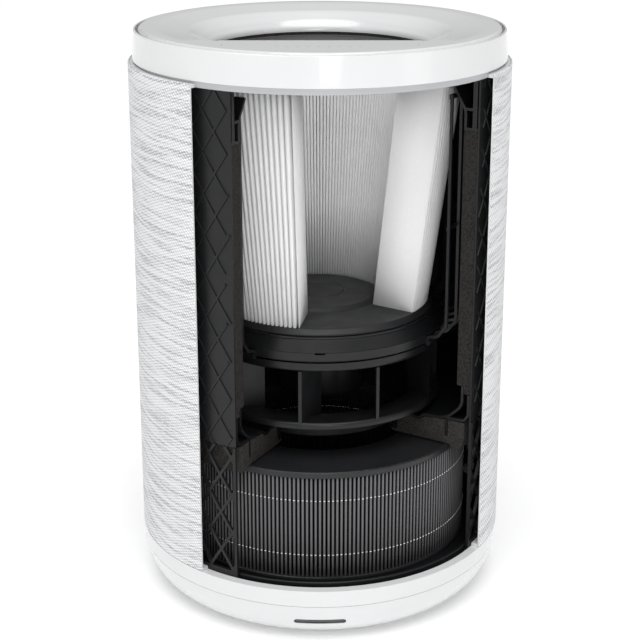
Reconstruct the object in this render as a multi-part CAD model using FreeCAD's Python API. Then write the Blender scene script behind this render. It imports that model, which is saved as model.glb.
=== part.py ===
# Round floor-standing air purifier, shown cut open at the front.
# Millimetres, +Z up, origin at the centre of the circle that the feet stand on.
# Azimuths are in degrees from the front (-Y), positive towards +X.
import FreeCAD, Part
import math
import os

V = FreeCAD.Vector

# ---------------------------------------------------------------- driving sizes
body_radius = 170.0          # outside of the fabric sleeve
seat_gap = 0.3               # between pieces of different bodies that rest on each other
fit_gap = 0.2                # between round pieces that are fixed inside each other

# base
foot_lift = 1.4
bowl_height = 36.7
bowl_wall = 2.6
bowl_curve_height = 64.7
bowl_curve_power = 2.92
seam_gap = 0.4
ring_height = 15.7
ring_lip_height = 3.0
ring_lip_width = 8.0
tray_floor = 3.0
tray_drop = 6.5              # tray floor below the ring's shoulder
tray_rim = 2.9
tray_rim_height = 9.2
foot_pad_radius = 11.0
bowl_flat_inset = 44.8       # flat underside, in from the body
foot_pad_inset = 21.2
tray_screw_inset = 9.2
foot_pad_sink = 0.8
foot_pad_count = 5
tray_screw_count = 6
vent_length = 46.0
vent_height = 5.2
socket_width = 11.0
socket_height = 9.0
socket_hole_radius = 3.15
socket_pin_radius = 1.25

# filters
lower_filter_height = 104.5
intake_width = 20.0          # tray's edge to the lower filter
lower_bore_radius = 84.5
lower_cap = 5.8
lower_foot = 3.4
upper_filter_height = 227.7
filter_seat_inset = 15.0     # upper filter's floor, in from the pan
upper_floor = 5.3
upper_media_wall = 43.0
upper_taper = 0.130          # outward lean of the outer pleats
upper_inner_taper = 0.112    # outward lean of the inner pleats
upper_cap = 8.4
dome_gap = 1.5               # dome, in from the pleats
dome_height = 4.4

# fan
seal_height = 24.2
deck_wall = 2.4
eye_step = 3.7               # nozzle, in from the blades' inner ends
shroud_wall = 2.2
impeller_radius = 113.0
blade_height = 48.1
blade_chord = 27.0
blade_lag = 9.0
blade_wall = 2.2
blade_count = 10
backplate_wall = 2.4
backplate_rim = 8.2
rotor_gap = 1.6
hub_radius = 42.0
shaft_radius = 3.0
bearing_radius = 9.5
bearing_width = 6.0
running_gap = 0.03
pan_radius = 115.5
board_inset = 23.5
pan_height = 8.7
pan_cover_height = 9.9
gasket_height = 1.8
pan_wall = 2.4

# shell
sleeve_wall = 1.6
sleeve_air_gap = 8.0         # fabric to lattice ribs
shell_wall_thickness = 1.6
rib_depth = 1.2              # lattice ribs stand this far out of the plain wall
lattice_columns = 42
lattice_pitch = 35.8
lattice_rib = 2.6
lattice_foot = 14.0
foam_wall = 13.2
foam_height = 239.4
cage_rib_depth = 2.6
cage_rib_width = 1.8
cage_rib_count = 35
hoop_wall = 1.3
hoop_gap = 0.05
cage_left = -29.3
cage_right = 55.3

# top
collar_height = 2.8
collar_lip = 5.6
lid_ring_height = 26.3
lid_ledge_drop = 9.3
lid_seam = 2.0
lid_rise = 1.3               # lid disc above its ring
lid_wall = 2.4
lid_step = 5.6               # lid, in from its ring's foot
lid_rim_width = 13.4
collar_step = 1.9            # collar's bore, in from the foam
duct_width = 9.4             # foam to cage
outlet_radius = 98.0
grille_wall = 2.4
outlet_depth = 21.3
console_chord = 97.0         # straight front edge of the outlet, from the axis

# window cut through the shell, and the narrower one through the upper filter
window_left = -26.9
window_right = 57.3
sleeve_left = -38.2
sleeve_right = 59.3
filter_left = -10.4
filter_right = 56.0

# ---------------------------------------------------------------- levels
parting_level = foot_lift + bowl_height
shoulder_level = parting_level + seam_gap + ring_height
tray_level = shoulder_level - tray_drop
lower_bottom = tray_level + seat_gap
lower_top = lower_bottom + lower_filter_height
deck_level = lower_top + seat_gap + seal_height       # underside of the fan deck
eye_level = deck_level - 13.7                         # mouth of the impeller
rim_level = deck_level + 11.1                         # top of the shroud's rim
backplate_level = rim_level + blade_height
pan_level = backplate_level + backplate_rim + rotor_gap
pan_seam = pan_level + pan_height
pan_top = pan_seam + pan_cover_height
gasket_top = pan_top + gasket_height
upper_bottom = gasket_top + seat_gap
upper_floor_level = upper_bottom + upper_floor
upper_top = upper_bottom + upper_filter_height
collar_level = upper_top + seat_gap                   # top face of the collar
shell_top = collar_level - collar_height
ring_bottom = collar_level
ring_top = ring_bottom + lid_ring_height
lid_level = ring_top + lid_rise
ledge_level = ring_top - lid_ledge_drop
web_level = shell_top - 48.3                          # lower web of the top frame

# ---------------------------------------------------------------- radii
bowl_flat_radius = body_radius - bowl_flat_inset
foot_pad_circle = bowl_flat_radius - foot_pad_inset
tray_screw_circle = bowl_flat_radius - tray_screw_inset
sleeve_inner = body_radius - sleeve_wall
rib_outer = sleeve_inner - sleeve_air_gap + rib_depth
shell_outer = rib_outer - rib_depth
shell_inner = shell_outer - shell_wall_thickness
foam_outer = shell_inner - fit_gap
foam_inner = foam_outer - foam_wall
ring_bore = rib_outer + 0.4
tray_radius = shell_inner - 0.6
duct_radius = foam_outer - 7.5                        # wall of the fan deck's trough
frame_outer = foam_outer - 1.0
ring_radius = rib_outer + 4.4                         # lid ring at its foot
lid_radius = ring_radius - lid_step
lid_rim_radius = lid_radius - lid_rim_width
collar_bore = foam_inner - collar_step
cage_radius = foam_inner - duct_width
lower_filter_radius = tray_radius - intake_width
upper_floor_radius = pan_radius - filter_seat_inset
blade_inner_radius = impeller_radius - blade_chord
nozzle_radius = blade_inner_radius - eye_step
dome_radius = upper_floor_radius - upper_media_wall - dome_gap
board_edge = pan_radius - board_inset
hub_inner = hub_radius - backplate_wall
cup_outer = hub_inner - fit_gap
tube_outer = bearing_radius + 4.5


# ---------------------------------------------------------------- helpers
def at(radius, azimuth, level=0.0):
    angle = math.radians(azimuth)
    return V(radius * math.sin(angle), -radius * math.cos(angle), level)


def outline_edges(corners):
    """Edges of a closed outline; a corner is (r, z) or (r, z, rounding radius)."""
    entries, exits, arcs = [], [], []
    for index, corner in enumerate(corners):
        here = V(corner[0], 0, corner[1])
        before = V(corners[index - 1][0], 0, corners[index - 1][1])
        after_corner = corners[(index + 1) % len(corners)]
        after = V(after_corner[0], 0, after_corner[1])
        rounding = corner[2] if len(corner) > 2 else 0
        if rounding <= 0:
            entries.append(here)
            exits.append(here)
            arcs.append(None)
            continue
        back = (before - here).normalize()
        onward = (after - here).normalize()
        half = back.getAngle(onward) / 2
        reach = rounding / math.tan(half)
        entry = here + back * reach
        leave = here + onward * reach
        centre = here + (back + onward).normalize() * (rounding / math.sin(half))
        middle = centre + (here - centre).normalize() * rounding
        entries.append(entry)
        exits.append(leave)
        arcs.append(Part.Arc(entry, middle, leave).toShape())
    edges = []
    for index in range(len(corners)):
        if arcs[index] is not None:
            edges.append(arcs[index])
        following = (index + 1) % len(corners)
        if exits[index].distanceToPoint(entries[following]) > 1e-6:
            edges.append(Part.LineSegment(exits[index], entries[following]).toShape())
    return edges


def spin(edges, first=0.0, sweep=360.0):
    """Turn a closed outline about the axis, from one azimuth over a sweep."""
    face = Part.Face(Part.Wire(edges))
    face.rotate(V(0, 0, 0), V(0, 0, 1), first - 90.0)
    solid = face.revolve(V(0, 0, 0), V(0, 0, 1), sweep)
    return solid if solid.Volume > 0 else solid.reversed()


def turned(corners, first=0.0, sweep=360.0):
    return spin(outline_edges(corners), first, sweep)


def tube(inner, outer, low, high, first=0.0, sweep=360.0):
    corners = [(inner, low), (outer, low), (outer, high), (inner, high)]
    return turned(corners, first, sweep)


def ribbon(path, wall):
    """Outline of a wall of even thickness along a path of (r, z[, bend radius])."""
    left, right = [], []
    for index, point in enumerate(path):
        here = V(point[0], 0, point[1])
        steps = []
        if index > 0:
            steps.append((here - V(path[index - 1][0], 0, path[index - 1][1])).normalize())
        if index < len(path) - 1:
            steps.append((V(path[index + 1][0], 0, path[index + 1][1]) - here).normalize())
        normals = [V(-step.z, 0, step.x) for step in steps]
        across = normals[0] if len(normals) == 1 else (normals[0] + normals[1]).normalize()
        reach = wall / 2 / (across * normals[0])
        bend = point[2] if len(point) > 2 else 0
        left_bend = right_bend = 0
        if bend and len(steps) == 2:
            turn = steps[0].x * steps[1].z - steps[0].z * steps[1].x
            left_bend = bend - wall / 2 if turn > 0 else bend + wall / 2
            right_bend = bend + wall / 2 if turn > 0 else bend - wall / 2
        left.append((here.x + across.x * reach, here.z + across.z * reach, left_bend))
        right.append((here.x - across.x * reach, here.z - across.z * reach, right_bend))
    return left + right[::-1]


def rod(radius, low, high, centre):
    return Part.makeCylinder(radius, high - low, V(centre.x, centre.y, low))


def spaced(count, first=0.0, sweep=360.0):
    return [first + sweep * index / count for index in range(count)]


def block(x_low, x_high, y_low, y_high, z_low, z_high):
    size = (x_high - x_low, y_high - y_low, z_high - z_low)
    return Part.makeBox(*size, V(x_low, y_low, z_low))


def window_sweep(left, right):
    return 360.0 - (right - left)


def fused(shapes):
    return shapes[0].multiFuse(shapes[1:]).removeSplitter()


# ---------------------------------------------------------------- base
def bowl_points(inset, high, steps=9):
    """Quarter of a superellipse, from a level down to the flat of the bowl."""
    top = foot_lift + bowl_curve_height
    bottom = foot_lift + inset
    widest = body_radius - inset
    start = math.asin(((top - high) / (top - bottom)) ** (bowl_curve_power / 2))
    points = []
    for index in range(steps + 1):
        angle = start + (math.pi / 2 - start) * index / steps
        bulge = max(math.cos(angle), 0.0) ** (2 / bowl_curve_power)
        drop = math.sin(angle) ** (2 / bowl_curve_power)
        points.append(V(bowl_flat_radius + (widest - bowl_flat_radius) * bulge, 0,
                        top - (top - bottom) * drop))
    return points


def bowl_radius(level, inset=0.0):
    top = foot_lift + bowl_curve_height
    height = top - foot_lift - inset
    reach = 1 - ((top - level) / height) ** bowl_curve_power
    widest = body_radius - inset - bowl_flat_radius
    return bowl_flat_radius + widest * reach ** (1 / bowl_curve_power)


def curve_through(points):
    curve = Part.BSplineCurve()
    curve.interpolate(points)
    return curve.toShape()


def joined(points):
    return [Part.LineSegment(a, b).toShape() for a, b in zip(points, points[1:])]


def bowl_shell(outer_inset, inner_inset, high):
    outer = bowl_points(outer_inset, high)
    inner = bowl_points(inner_inset, high)
    floor_low = foot_lift + outer_inset
    floor_high = foot_lift + inner_inset
    edges = [curve_through(outer)]
    edges += joined([outer[-1], V(0, 0, floor_low), V(0, 0, floor_high), inner[-1]])
    edges.append(curve_through(inner))
    edges += joined([inner[0], outer[0]])
    return spin(edges)


def vent_slot(margin, y_low, y_high):
    """Level pill shape through the front of the bowl."""
    level = foot_lift + bowl_height * 0.55
    half = vent_height / 2 + margin
    reach = vent_length / 2 - vent_height / 2
    bar = block(-reach, reach, y_low, y_high, level - half, level + half)
    ends = [Part.makeCylinder(half, y_high - y_low, V(x, y_low, level), V(0, 1, 0))
            for x in (-reach, reach)]
    return fused([bar] + ends)


def base_bowl():
    shell = bowl_shell(0, bowl_wall, parting_level)
    floor_top = foot_lift + bowl_wall
    bosses = []
    for azimuth in spaced(tray_screw_count, 30):
        bosses.append(rod(5.0, floor_top - 0.5, tray_level - tray_floor, at(tray_screw_circle, azimuth)))
    bowl = fused([shell] + bosses)
    for azimuth in spaced(tray_screw_count, 30):
        low = tray_level - tray_floor - 16.0
        bowl = bowl.cut(rod(1.6, low, tray_level, at(tray_screw_circle, azimuth)))
    for azimuth in spaced(foot_pad_count):
        pad = rod(foot_pad_radius + fit_gap, 0, foot_lift + foot_pad_sink, at(foot_pad_circle, azimuth))
        bowl = bowl.cut(pad)
    return bowl.cut(vent_slot(0, -body_radius, -body_radius + 30))


def rubber_feet():
    pads = []
    for azimuth in spaced(foot_pad_count):
        pad = rod(foot_pad_radius, 0, foot_lift + foot_pad_sink, at(foot_pad_circle, azimuth))
        lower_rim = [edge for edge in pad.Edges if edge.BoundBox.ZMax < 0.01]
        pads.append(pad.makeFillet(0.6, lower_rim))
    return Part.makeCompound(pads)


def sensor_window():
    lens = bowl_shell(0.8, bowl_wall - 0.2, parting_level)
    return lens.common(vent_slot(-0.15, -body_radius, -body_radius + 30))


def sensor_module():
    """Dust sensor behind the vent, hung from the tray on two lugs."""
    ceiling = tray_level - tray_floor
    case_top = ceiling - 16.0
    case_low = case_top - 16.0
    front = -(bowl_flat_radius + 20.0)
    case = block(-23, 23, front, front + 22, case_low, case_top)
    lugs = [block(x - 3, x + 3, front + 8, front + 14, case_top, ceiling) for x in (-19, 19)]
    module = fused([case] + lugs)
    inlet = Part.makeCylinder(5.0, 8, V(0, front, (case_low + case_top) / 2), V(0, 1, 0))
    return module.cut(inlet)


def floor_tray():
    low = tray_level - tray_floor
    rim_inner = tray_radius - tray_rim
    corners = [(0, low), (tray_radius, low, 1.0), (tray_radius, tray_level + tray_rim_height, 0.8),
               (rim_inner, tray_level + tray_rim_height, 0.8), (rim_inner - 0.6, tray_level, 1.2),
               (0, tray_level)]
    tray = turned(corners)
    for azimuth in spaced(tray_screw_count, 30):
        place = at(tray_screw_circle, azimuth)
        tray = tray.cut(rod(1.9, low, tray_level, place))
        tray = tray.cut(rod(3.6, tray_level - 1.6, tray_level, place))
    return tray.cut(socket_pocket(0.8, 400))


def tray_screws():
    screws = []
    low = tray_level - tray_floor - 15.0
    for azimuth in spaced(tray_screw_count, 30):
        place = at(tray_screw_circle, azimuth)
        screws.append(rod(1.5, low, tray_level - 1.6, place).fuse(
            rod(3.4, tray_level - 1.6, tray_level - 0.1, place)).removeSplitter())
    return Part.makeCompound(screws)


def socket_level():
    return shoulder_level - ring_lip_height - socket_height / 2 - 0.3


def socket_pocket(margin, height):
    """Space of the power socket at the back; height is how far it runs up."""
    half = socket_width / 2 + margin
    low = socket_level() - socket_height / 2 - margin
    return block(-half, half, body_radius - 16 - margin, body_radius + 5,
                 low if height < 100 else 0, low + height + 2 * margin)


def base_ring():
    """White ring above the parting line: outer wall, top lip and the ledge that the shell stands on."""
    low = parting_level + seam_gap
    points = bowl_points(0, shoulder_level)
    outer = [point for point in points if point.z > low + 1.0]
    outer.append(V(bowl_radius(low), 0, low))
    wall = body_radius - 3.6
    inner = [V(wall, 0, low), V(wall, 0, low + 4.6), V(tray_radius + 0.7, 0, low + 4.6),
             V(tray_radius + 0.7, 0, low + 7.2), V(wall, 0, low + 7.2),
             V(wall, 0, shoulder_level - ring_lip_height),
             V(ring_bore, 0, shoulder_level - ring_lip_height), V(ring_bore, 0, shoulder_level)]
    edges = [curve_through(outer)] + joined([outer[-1]] + inner + [outer[0]])
    ring = spin(edges)
    return ring.cut(socket_pocket(0, socket_height))


def power_socket():
    """Low-voltage barrel socket, flush with the back of the base ring."""
    level = socket_level()
    half = socket_height / 2
    back = bowl_radius(level) - 0.6
    front = body_radius - 15.8
    width = socket_width / 2 - 0.1
    case = block(-width, width, front, back, level - half + 0.1, level + half - 0.1)
    case = case.cut(Part.makeCylinder(socket_hole_radius, 10, V(0, back - 10, level), V(0, 1, 0)))
    pin = Part.makeCylinder(socket_pin_radius, 10.5, V(0, back - 11, level), V(0, 1, 0))
    return case.fuse(pin).removeSplitter()


# ---------------------------------------------------------------- shell
def lattice_low():
    return parting_level + seam_gap + 7.2


def shell_wall():
    sweep = window_sweep(window_left, window_right)
    wall = tube(shell_inner, shell_outer, deck_level + 1.0, shell_top, window_right, sweep)
    return wall


def diamond(azimuth, level):
    """One lattice opening: a diamond prism that points outwards."""
    half_wide = math.pi * rib_outer / lattice_columns
    half_high = lattice_pitch / 2
    side = math.hypot(half_wide, half_high)
    shrink = 1 - (lattice_rib / 2) * side / (half_wide * half_high)
    across = at(1, azimuth + 90) * (half_wide * shrink)
    up = V(0, 0, half_high * shrink)
    centre = at(shell_inner - 4, azimuth, level)
    corners = [centre - across, centre - up, centre + across, centre + up, centre - across]
    return Part.Face(Part.makePolygon(corners)).extrude(at(12, azimuth))


def shell_lattice():
    """Air intake: a foot band and a grid of diamond openings up to the fan deck."""
    sweep = window_sweep(window_left, window_right)
    low = lattice_low()
    band_top = low + lattice_foot
    high = deck_level + 1.0
    grid = tube(shell_inner, rib_outer, low, high, window_right, sweep)
    column_step = 180.0 / lattice_columns
    openings = []
    columns = int(sweep / column_step)
    rows = int((high - band_top) / lattice_pitch) + 2
    for column in range(columns + 1):
        azimuth = window_right + column_step * column
        shift = 0.5 if column % 2 else 0.0
        for row in range(rows):
            level = high + 8.0 - lattice_pitch * (row + shift)
            openings.append(diamond(azimuth, level))
    cutter = Part.makeCompound(openings)
    cutter = cutter.common(tube(shell_inner - 6, rib_outer + 8, band_top, high + 5,
                                window_right + 0.9, sweep - 1.8))
    grid = grid.cut(cutter)
    largest = max(grid.Solids, key=lambda solid: solid.Volume)
    return largest.cut(socket_pocket(0.4, socket_height))


def fabric_sleeve():
    low = shoulder_level + seat_gap
    corners = [(sleeve_inner, low), (body_radius, low, 0.5), (body_radius, shell_top + 0.9, 0.5),
               (sleeve_inner, shell_top + 0.9)]
    return turned(corners, sleeve_right, window_sweep(sleeve_left, sleeve_right))


def sleeve_top_hoop():
    """Stiff band inside the sleeve's upper edge, clipped round the collar."""
    high = shell_top + 0.6
    sweep = window_sweep(sleeve_left, sleeve_right)
    return tube(rib_outer + 2.4, sleeve_inner - 0.1, high - 3.2, high, sleeve_right, sweep)


def sleeve_bottom_hoop():
    low = shoulder_level
    sweep = window_sweep(sleeve_left, sleeve_right)
    return tube(ring_bore + 0.3, sleeve_inner - 0.1, low, low + 3.0, sleeve_right, sweep)


def foam_liner():
    sweep = window_sweep(window_left, window_right)
    top = web_level - fit_gap
    low = top - foam_height
    step = duct_radius + deck_wall / 2 + 0.3
    corners = [(foam_inner, top), (foam_outer, top), (foam_outer, low), (step, low),
               (step, low + 7.0), (foam_inner, low + 7.0)]
    return turned(corners, window_right, sweep)


def top_frame():
    """Black ring of H section that hangs from the collar and carries the filter cage."""
    sweep = window_sweep(window_left, window_right)
    arm_in = foam_inner + 1.4
    outer = tube(frame_outer - 4.2, frame_outer, web_level, shell_top, window_right, sweep)
    path = [(arm_in, web_level), (arm_in, web_level + 17, 14), (cage_radius - 0.9, web_level + 35.5)]
    inner = turned(ribbon(path, 2.4), window_right, sweep)
    webs = [tube(foam_inner + 0.2, foam_outer, web_level, web_level + 2.4, window_right, sweep),
            tube(arm_in, frame_outer - 4.0, web_level + 17, web_level + 19.4, window_right, sweep)]
    frame = fused([outer, inner] + webs)
    for azimuth in frame_screw_places():
        place = at(frame_outer - 2.1, azimuth)
        frame = frame.cut(rod(1.3, shell_top - 12, shell_top + 1, place))
    return frame


def frame_screw_places():
    sweep = window_sweep(window_left, window_right)
    return [window_right + 12 + (sweep - 24) * index / 6 for index in range(7)]


def frame_screws():
    screws = []
    for azimuth in frame_screw_places():
        place = at(frame_outer - 2.1, azimuth)
        shank = rod(1.25, shell_top - 11, collar_level, place)
        head = rod(2.6, collar_level, collar_level + 1.8, place)
        screws.append(shank.fuse(head).removeSplitter())
    return Part.makeCompound(screws)


def top_collar():
    outer = rib_outer + 2.2
    corners = [(collar_bore, shell_top), (rib_outer + 0.2, shell_top),
               (rib_outer + 0.2, collar_level - collar_lip), (outer, collar_level - collar_lip, 0.8),
               (outer, collar_level), (collar_bore, collar_level, 0.6)]
    collar = turned(corners)
    for azimuth in frame_screw_places():
        collar = collar.cut(rod(1.4, shell_top - 1, collar_level + 1, at(frame_outer - 2.1, azimuth)))
    return collar


def lid_ring():
    top_outer = ring_radius - 1.8
    seat = lid_radius + lid_seam
    ledge = seat - 11.0
    corners = [(seat + 0.2, ring_bottom), (ring_radius, ring_bottom, 0.6),
               (top_outer, ring_top, 1.0), (seat, ring_top, 0.4), (seat, ledge_level),
               (ledge, ledge_level, 0.6), (ledge, ledge_level - 2.4), (seat + 0.2, ledge_level - 2.4)]
    return turned(corners)


# ---------------------------------------------------------------- lid
def dish_path():
    """Centre line of the lid's skin, from its rim into the outlet."""
    half = lid_wall / 2
    return [(lid_radius - half, ledge_level + seat_gap), (lid_radius - half, lid_level - half, 2.0),
            (lid_rim_radius, lid_level - half, 60), (outlet_radius + 17, lid_level - 5.4, 12),
            (outlet_radius + 6.5, lid_level - 12.5, 10), (outlet_radius + half, lid_level - 18.0, 5),
            (outlet_radius + half, lid_level - outlet_depth)]


def lid_disc():
    """Dished disc with a round outlet and a flat console across its front."""
    dish = turned(ribbon(dish_path(), lid_wall))
    flat_low = lid_level - lid_wall
    chamber = block(-200, 200, -200, -console_chord, lid_level - outlet_depth - 5, flat_low + 5)
    chamber = chamber.common(tube(0, lid_radius - lid_wall - 0.1, lid_level - outlet_depth - 5, lid_level + 5))
    dish = dish.cut(chamber)
    disc = tube(0, lid_radius - lid_wall - 0.1, flat_low, lid_level)
    console = disc.common(block(-200, 200, -200, -console_chord, flat_low - 1, lid_level + 1))
    wall_reach = math.sqrt((outlet_radius + 30) ** 2 - console_chord ** 2)
    wall = block(-wall_reach, wall_reach, -console_chord, -console_chord + lid_wall,
                 lid_level - outlet_depth, lid_level)
    wall = wall.common(under_dish())
    posts = [rod(2.6, flat_low - 4.2, flat_low + 0.5, V(x, y, 0)) for x, y in board_posts()]
    lid = fused([dish, console, wall] + posts)
    for x, y in board_posts():
        lid = lid.cut(rod(0.9, flat_low - 4.2, flat_low - 0.2, V(x, y, 0)))
    return lid


def under_dish():
    """Everything below the lid's upper surface."""
    half = lid_wall / 2
    top = lid_level - lid_wall
    corners = [(0, lid_level), (lid_rim_radius, lid_level), (lid_rim_radius, top),
               (outlet_radius + 17, lid_level - 5.4 - half), (outlet_radius + 6.5, lid_level - 14.0),
               (outlet_radius + half, lid_level - 19.5), (outlet_radius + half, lid_level - outlet_depth),
               (0, lid_level - outlet_depth)]
    return turned(corners)


def board_posts():
    return [(x, y) for x in (-44.0, 44.0) for y in (-console_chord - 12.0, -console_chord - 34.0)]


def board_level():
    return lid_level - lid_wall - 4.2


def control_board():
    top = board_level()
    board = block(-50, 50, -console_chord - 38, -console_chord - 8, top - 1.6, top)
    for x, y in board_posts():
        board = board.cut(rod(1.1, top - 2, top + 1, V(x, y, 0)))
    chips = [block(-12, 4, -console_chord - 30, -console_chord - 18, top - 3.2, top - 1.6),
             block(14, 24, -console_chord - 28, -console_chord - 20, top - 3.0, top - 1.6),
             block(-34, -22, -console_chord - 30, -console_chord - 22, top - 6.4, top - 1.6)]
    return fused([board] + chips)


def touch_panel():
    """Sensing film glued under the console, with its light strip."""
    top = lid_level - lid_wall
    return block(-40, 40, -console_chord - 36, -console_chord - 10, top - 0.8, top)


def board_screws():
    screws = []
    for x, y in board_posts():
        place = V(x, y, 0)
        shank = rod(0.85, board_level() - 1.6, board_level() + 3.2, place)
        head = rod(2.0, board_level() - 2.9, board_level() - 1.6, place)
        screws.append(shank.fuse(head).removeSplitter())
    return Part.makeCompound(screws)


def outlet_grille():
    """Fine ring grille at the foot of the outlet."""
    high = upper_top + seat_gap + grille_wall
    outer = outlet_radius - fit_gap
    pieces = [turned([(0, high - grille_wall), (13.0, high - grille_wall), (13.0, high), (8.0, high + 0.8), (0, high + 0.8)])]
    pieces.append(tube(outer - 2.2, outer, high - grille_wall, high + 1.0))
    pitch = 6.0
    for index in range(13):
        middle = 13.0 + pitch * (index + 1)
        pieces.append(tube(middle - 0.8, middle + 0.8, high - grille_wall, high))
    for azimuth in spaced(6, 30):
        spoke = block(-0.9, 0.9, -(outer - 1.0), -12.0, high - grille_wall, high - 0.6)
        spoke.rotate(V(0, 0, 0), V(0, 0, 1), azimuth)
        pieces.append(spoke)
    grille = fused(pieces)
    return grille.cut(block(-200, 200, -200, -console_chord + lid_wall + 0.2, high - 10, high + 10))


def lid_seal():
    low = upper_top + 0.3
    return tube(outlet_radius + 0.1, outlet_radius + 8, low, lid_level - outlet_depth)


# ---------------------------------------------------------------- upper filter
def media_outer(level):
    return upper_floor_radius + upper_taper * (level - upper_floor_level)


def media_inner(level):
    return upper_floor_radius - upper_media_wall + upper_inner_taper * (level - upper_floor_level)


def upper_media():
    """Pleated cone as one plain solid; the pleats run from the floor to the top cap."""
    low = upper_floor_level
    high = upper_top - upper_cap
    corners = [(media_inner(low), low), (media_outer(low), low),
               (media_outer(high), high), (media_inner(high), high)]
    return turned(corners, filter_right, window_sweep(filter_left, filter_right))


def upper_base_cap():
    low = upper_bottom
    floor = upper_floor_level
    edge = upper_floor_radius + 4.0
    crown = floor + dome_height
    corners = [(0, floor - 2.4), (dome_radius - 2.4, floor - 2.4), (upper_floor_radius - 8, floor - 2.4),
               (upper_floor_radius - 8, low), (edge, low), (edge, low + 1.4, 0.5),
               (upper_floor_radius, floor, 1.5),
               (dome_radius, floor, 2.0), (dome_radius - 5, crown - 1.2, 3.0), (24, crown, 0),
               (22.5, crown - 0.8), (21, crown), (0, crown)]
    return turned(corners)


def upper_top_cap():
    low = upper_top - upper_cap
    inner = media_inner(low) - 2.0
    outer = collar_bore - 4.6
    corners = [(inner, low - 3.0), (media_inner(low) - 0.7, low - 3.0), (media_inner(low) - 0.7, low),
               (media_outer(low) + 0.2, low), (outer, low + 2.4), (outer, upper_top, 1.0),
               (inner, upper_top, 2.0)]
    return turned(corners)


def upper_seal():
    outer = collar_bore - seat_gap
    return tube(collar_bore - 4.5, outer, upper_top - 3.0, upper_top)


# ---------------------------------------------------------------- lower filter
def lower_media():
    low = lower_bottom + lower_foot
    high = lower_top - lower_cap
    return tube(lower_bore_radius, lower_filter_radius - 0.6, low, high)


def lower_top_cap():
    high = lower_top
    low = high - lower_cap
    corners = [(lower_bore_radius - 0.8, low, 0.4), (lower_filter_radius, low, 0.4),
               (lower_filter_radius, high, 1.6), (lower_filter_radius - 3.2, high, 0.6),
               (lower_filter_radius - 4.4, high - 1.4), (lower_bore_radius - 0.8, high - 1.4, 1.6)]
    return turned(corners)


def lower_bottom_cap():
    low = lower_bottom
    high = low + lower_foot
    corners = [(0, low), (lower_filter_radius + 1.0, low, 0.6), (lower_filter_radius + 1.0, high, 0.6),
               (0, high)]
    return turned(corners)


def lower_inner_mesh():
    low = lower_bottom + lower_foot
    high = lower_top - lower_cap
    return tube(lower_bore_radius - 1.2, lower_bore_radius - 0.2, low, high)


# ---------------------------------------------------------------- fan deck
def fan_deck():
    """Volute floor with its intake nozzle, foam rib, upright wall and outer gutter."""
    sweep = window_sweep(window_left, window_right)
    half = deck_wall / 2
    low = deck_level
    wall_top = web_level - fit_gap - foam_height + 6.8
    crest = nozzle_radius + 4
    path = [(nozzle_radius - 6.2, low - 16.5), (nozzle_radius - 0.6, low - 19.4, 1.5),
            (nozzle_radius + half, low - 3.4, 2), (crest + 11, low - 3.4, 3),
            (crest + 17, low - 5.5, 2), (crest + 21, low - 5.5, 2), (crest + 26, low - 1.5, 3),
            (duct_radius - 15, low + 0.5, 20), (duct_radius, low + 15.0, 14), (duct_radius, wall_top)]
    deck = turned(ribbon(path, deck_wall), window_right, sweep)
    gutter_path = [(duct_radius - 14.6, low + 0.6), (duct_radius + 2.5, low + 1.4, 4),
                   (foam_outer - half, low + 7.0, 4), (foam_outer - half, wall_top - 7.2)]
    gutter = turned(ribbon(gutter_path, deck_wall), window_right, sweep)
    rib = tube(duct_radius - 16.4, duct_radius - 14.0, low - 16.5, low, window_right, sweep)
    return fused([deck, gutter, rib])


def deck_seal():
    """Foam ring between the fan deck and the lower filter's top."""
    sweep = window_sweep(window_left, window_right)
    low = lower_top + seat_gap
    high = deck_level - 0.9
    crest = nozzle_radius + 4
    rib_in = duct_radius - 16.7
    rib_out = duct_radius - 13.7
    corners = [(nozzle_radius - 5.0, low + 3.0), (nozzle_radius - 2.0, low),
               (lower_filter_radius + 1.5, low), (lower_filter_radius + 2.0, low - 2.6, 0.4),
               (duct_radius - 0.5, low - 3.2, 3.0), (duct_radius + 3.0, low + 5.0, 3.0),
               (duct_radius + 3.0, high + 0.2), (rib_out, high), (rib_out, deck_level - 16.8),
               (rib_in, deck_level - 16.8), (rib_in, high), (crest + 26.6, high - 2.2),
               (crest + 21.4, deck_level - 7.1), (crest + 16.6, deck_level - 7.1),
               (crest + 10.8, deck_level - 5.0), (nozzle_radius + 3.6, deck_level - 5.0),
               (nozzle_radius + 1.8, low + 2.6), (nozzle_radius - 1.0, low + 2.4)]
    return turned(corners, window_right, sweep)


# ---------------------------------------------------------------- impeller
def shroud_outline():
    path = [(nozzle_radius - 2.7, eye_level), (nozzle_radius - 2.7, eye_level + 12, 9),
            (blade_inner_radius + 3.5, rim_level + 0.1, 10), (impeller_radius - 12, rim_level + 0.6),
            (impeller_radius - 1.1, rim_level - 1.1, 2), (impeller_radius - 1.1, rim_level - 5.4)]
    return ribbon(path, shroud_wall)


def impeller_shroud():
    return turned(shroud_outline())


def impeller_backplate():
    """Disc with an upturned rim and the hub cup that holds the motor's rotor."""
    half = backplate_wall / 2
    rim = impeller_radius - half
    path = [(rim, backplate_level + backplate_rim), (rim, backplate_level + half, 2.0),
            (hub_radius - half, backplate_level + half, 2.4), (hub_radius - half, eye_level + 19.3, 7.0),
            (shaft_radius + 0.1 + half, eye_level + 19.3)]
    plate = turned(ribbon(path, backplate_wall))
    return plate.cut(rod(shaft_radius + 0.1, eye_level, backplate_level, V(0, 0, 0)))


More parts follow.
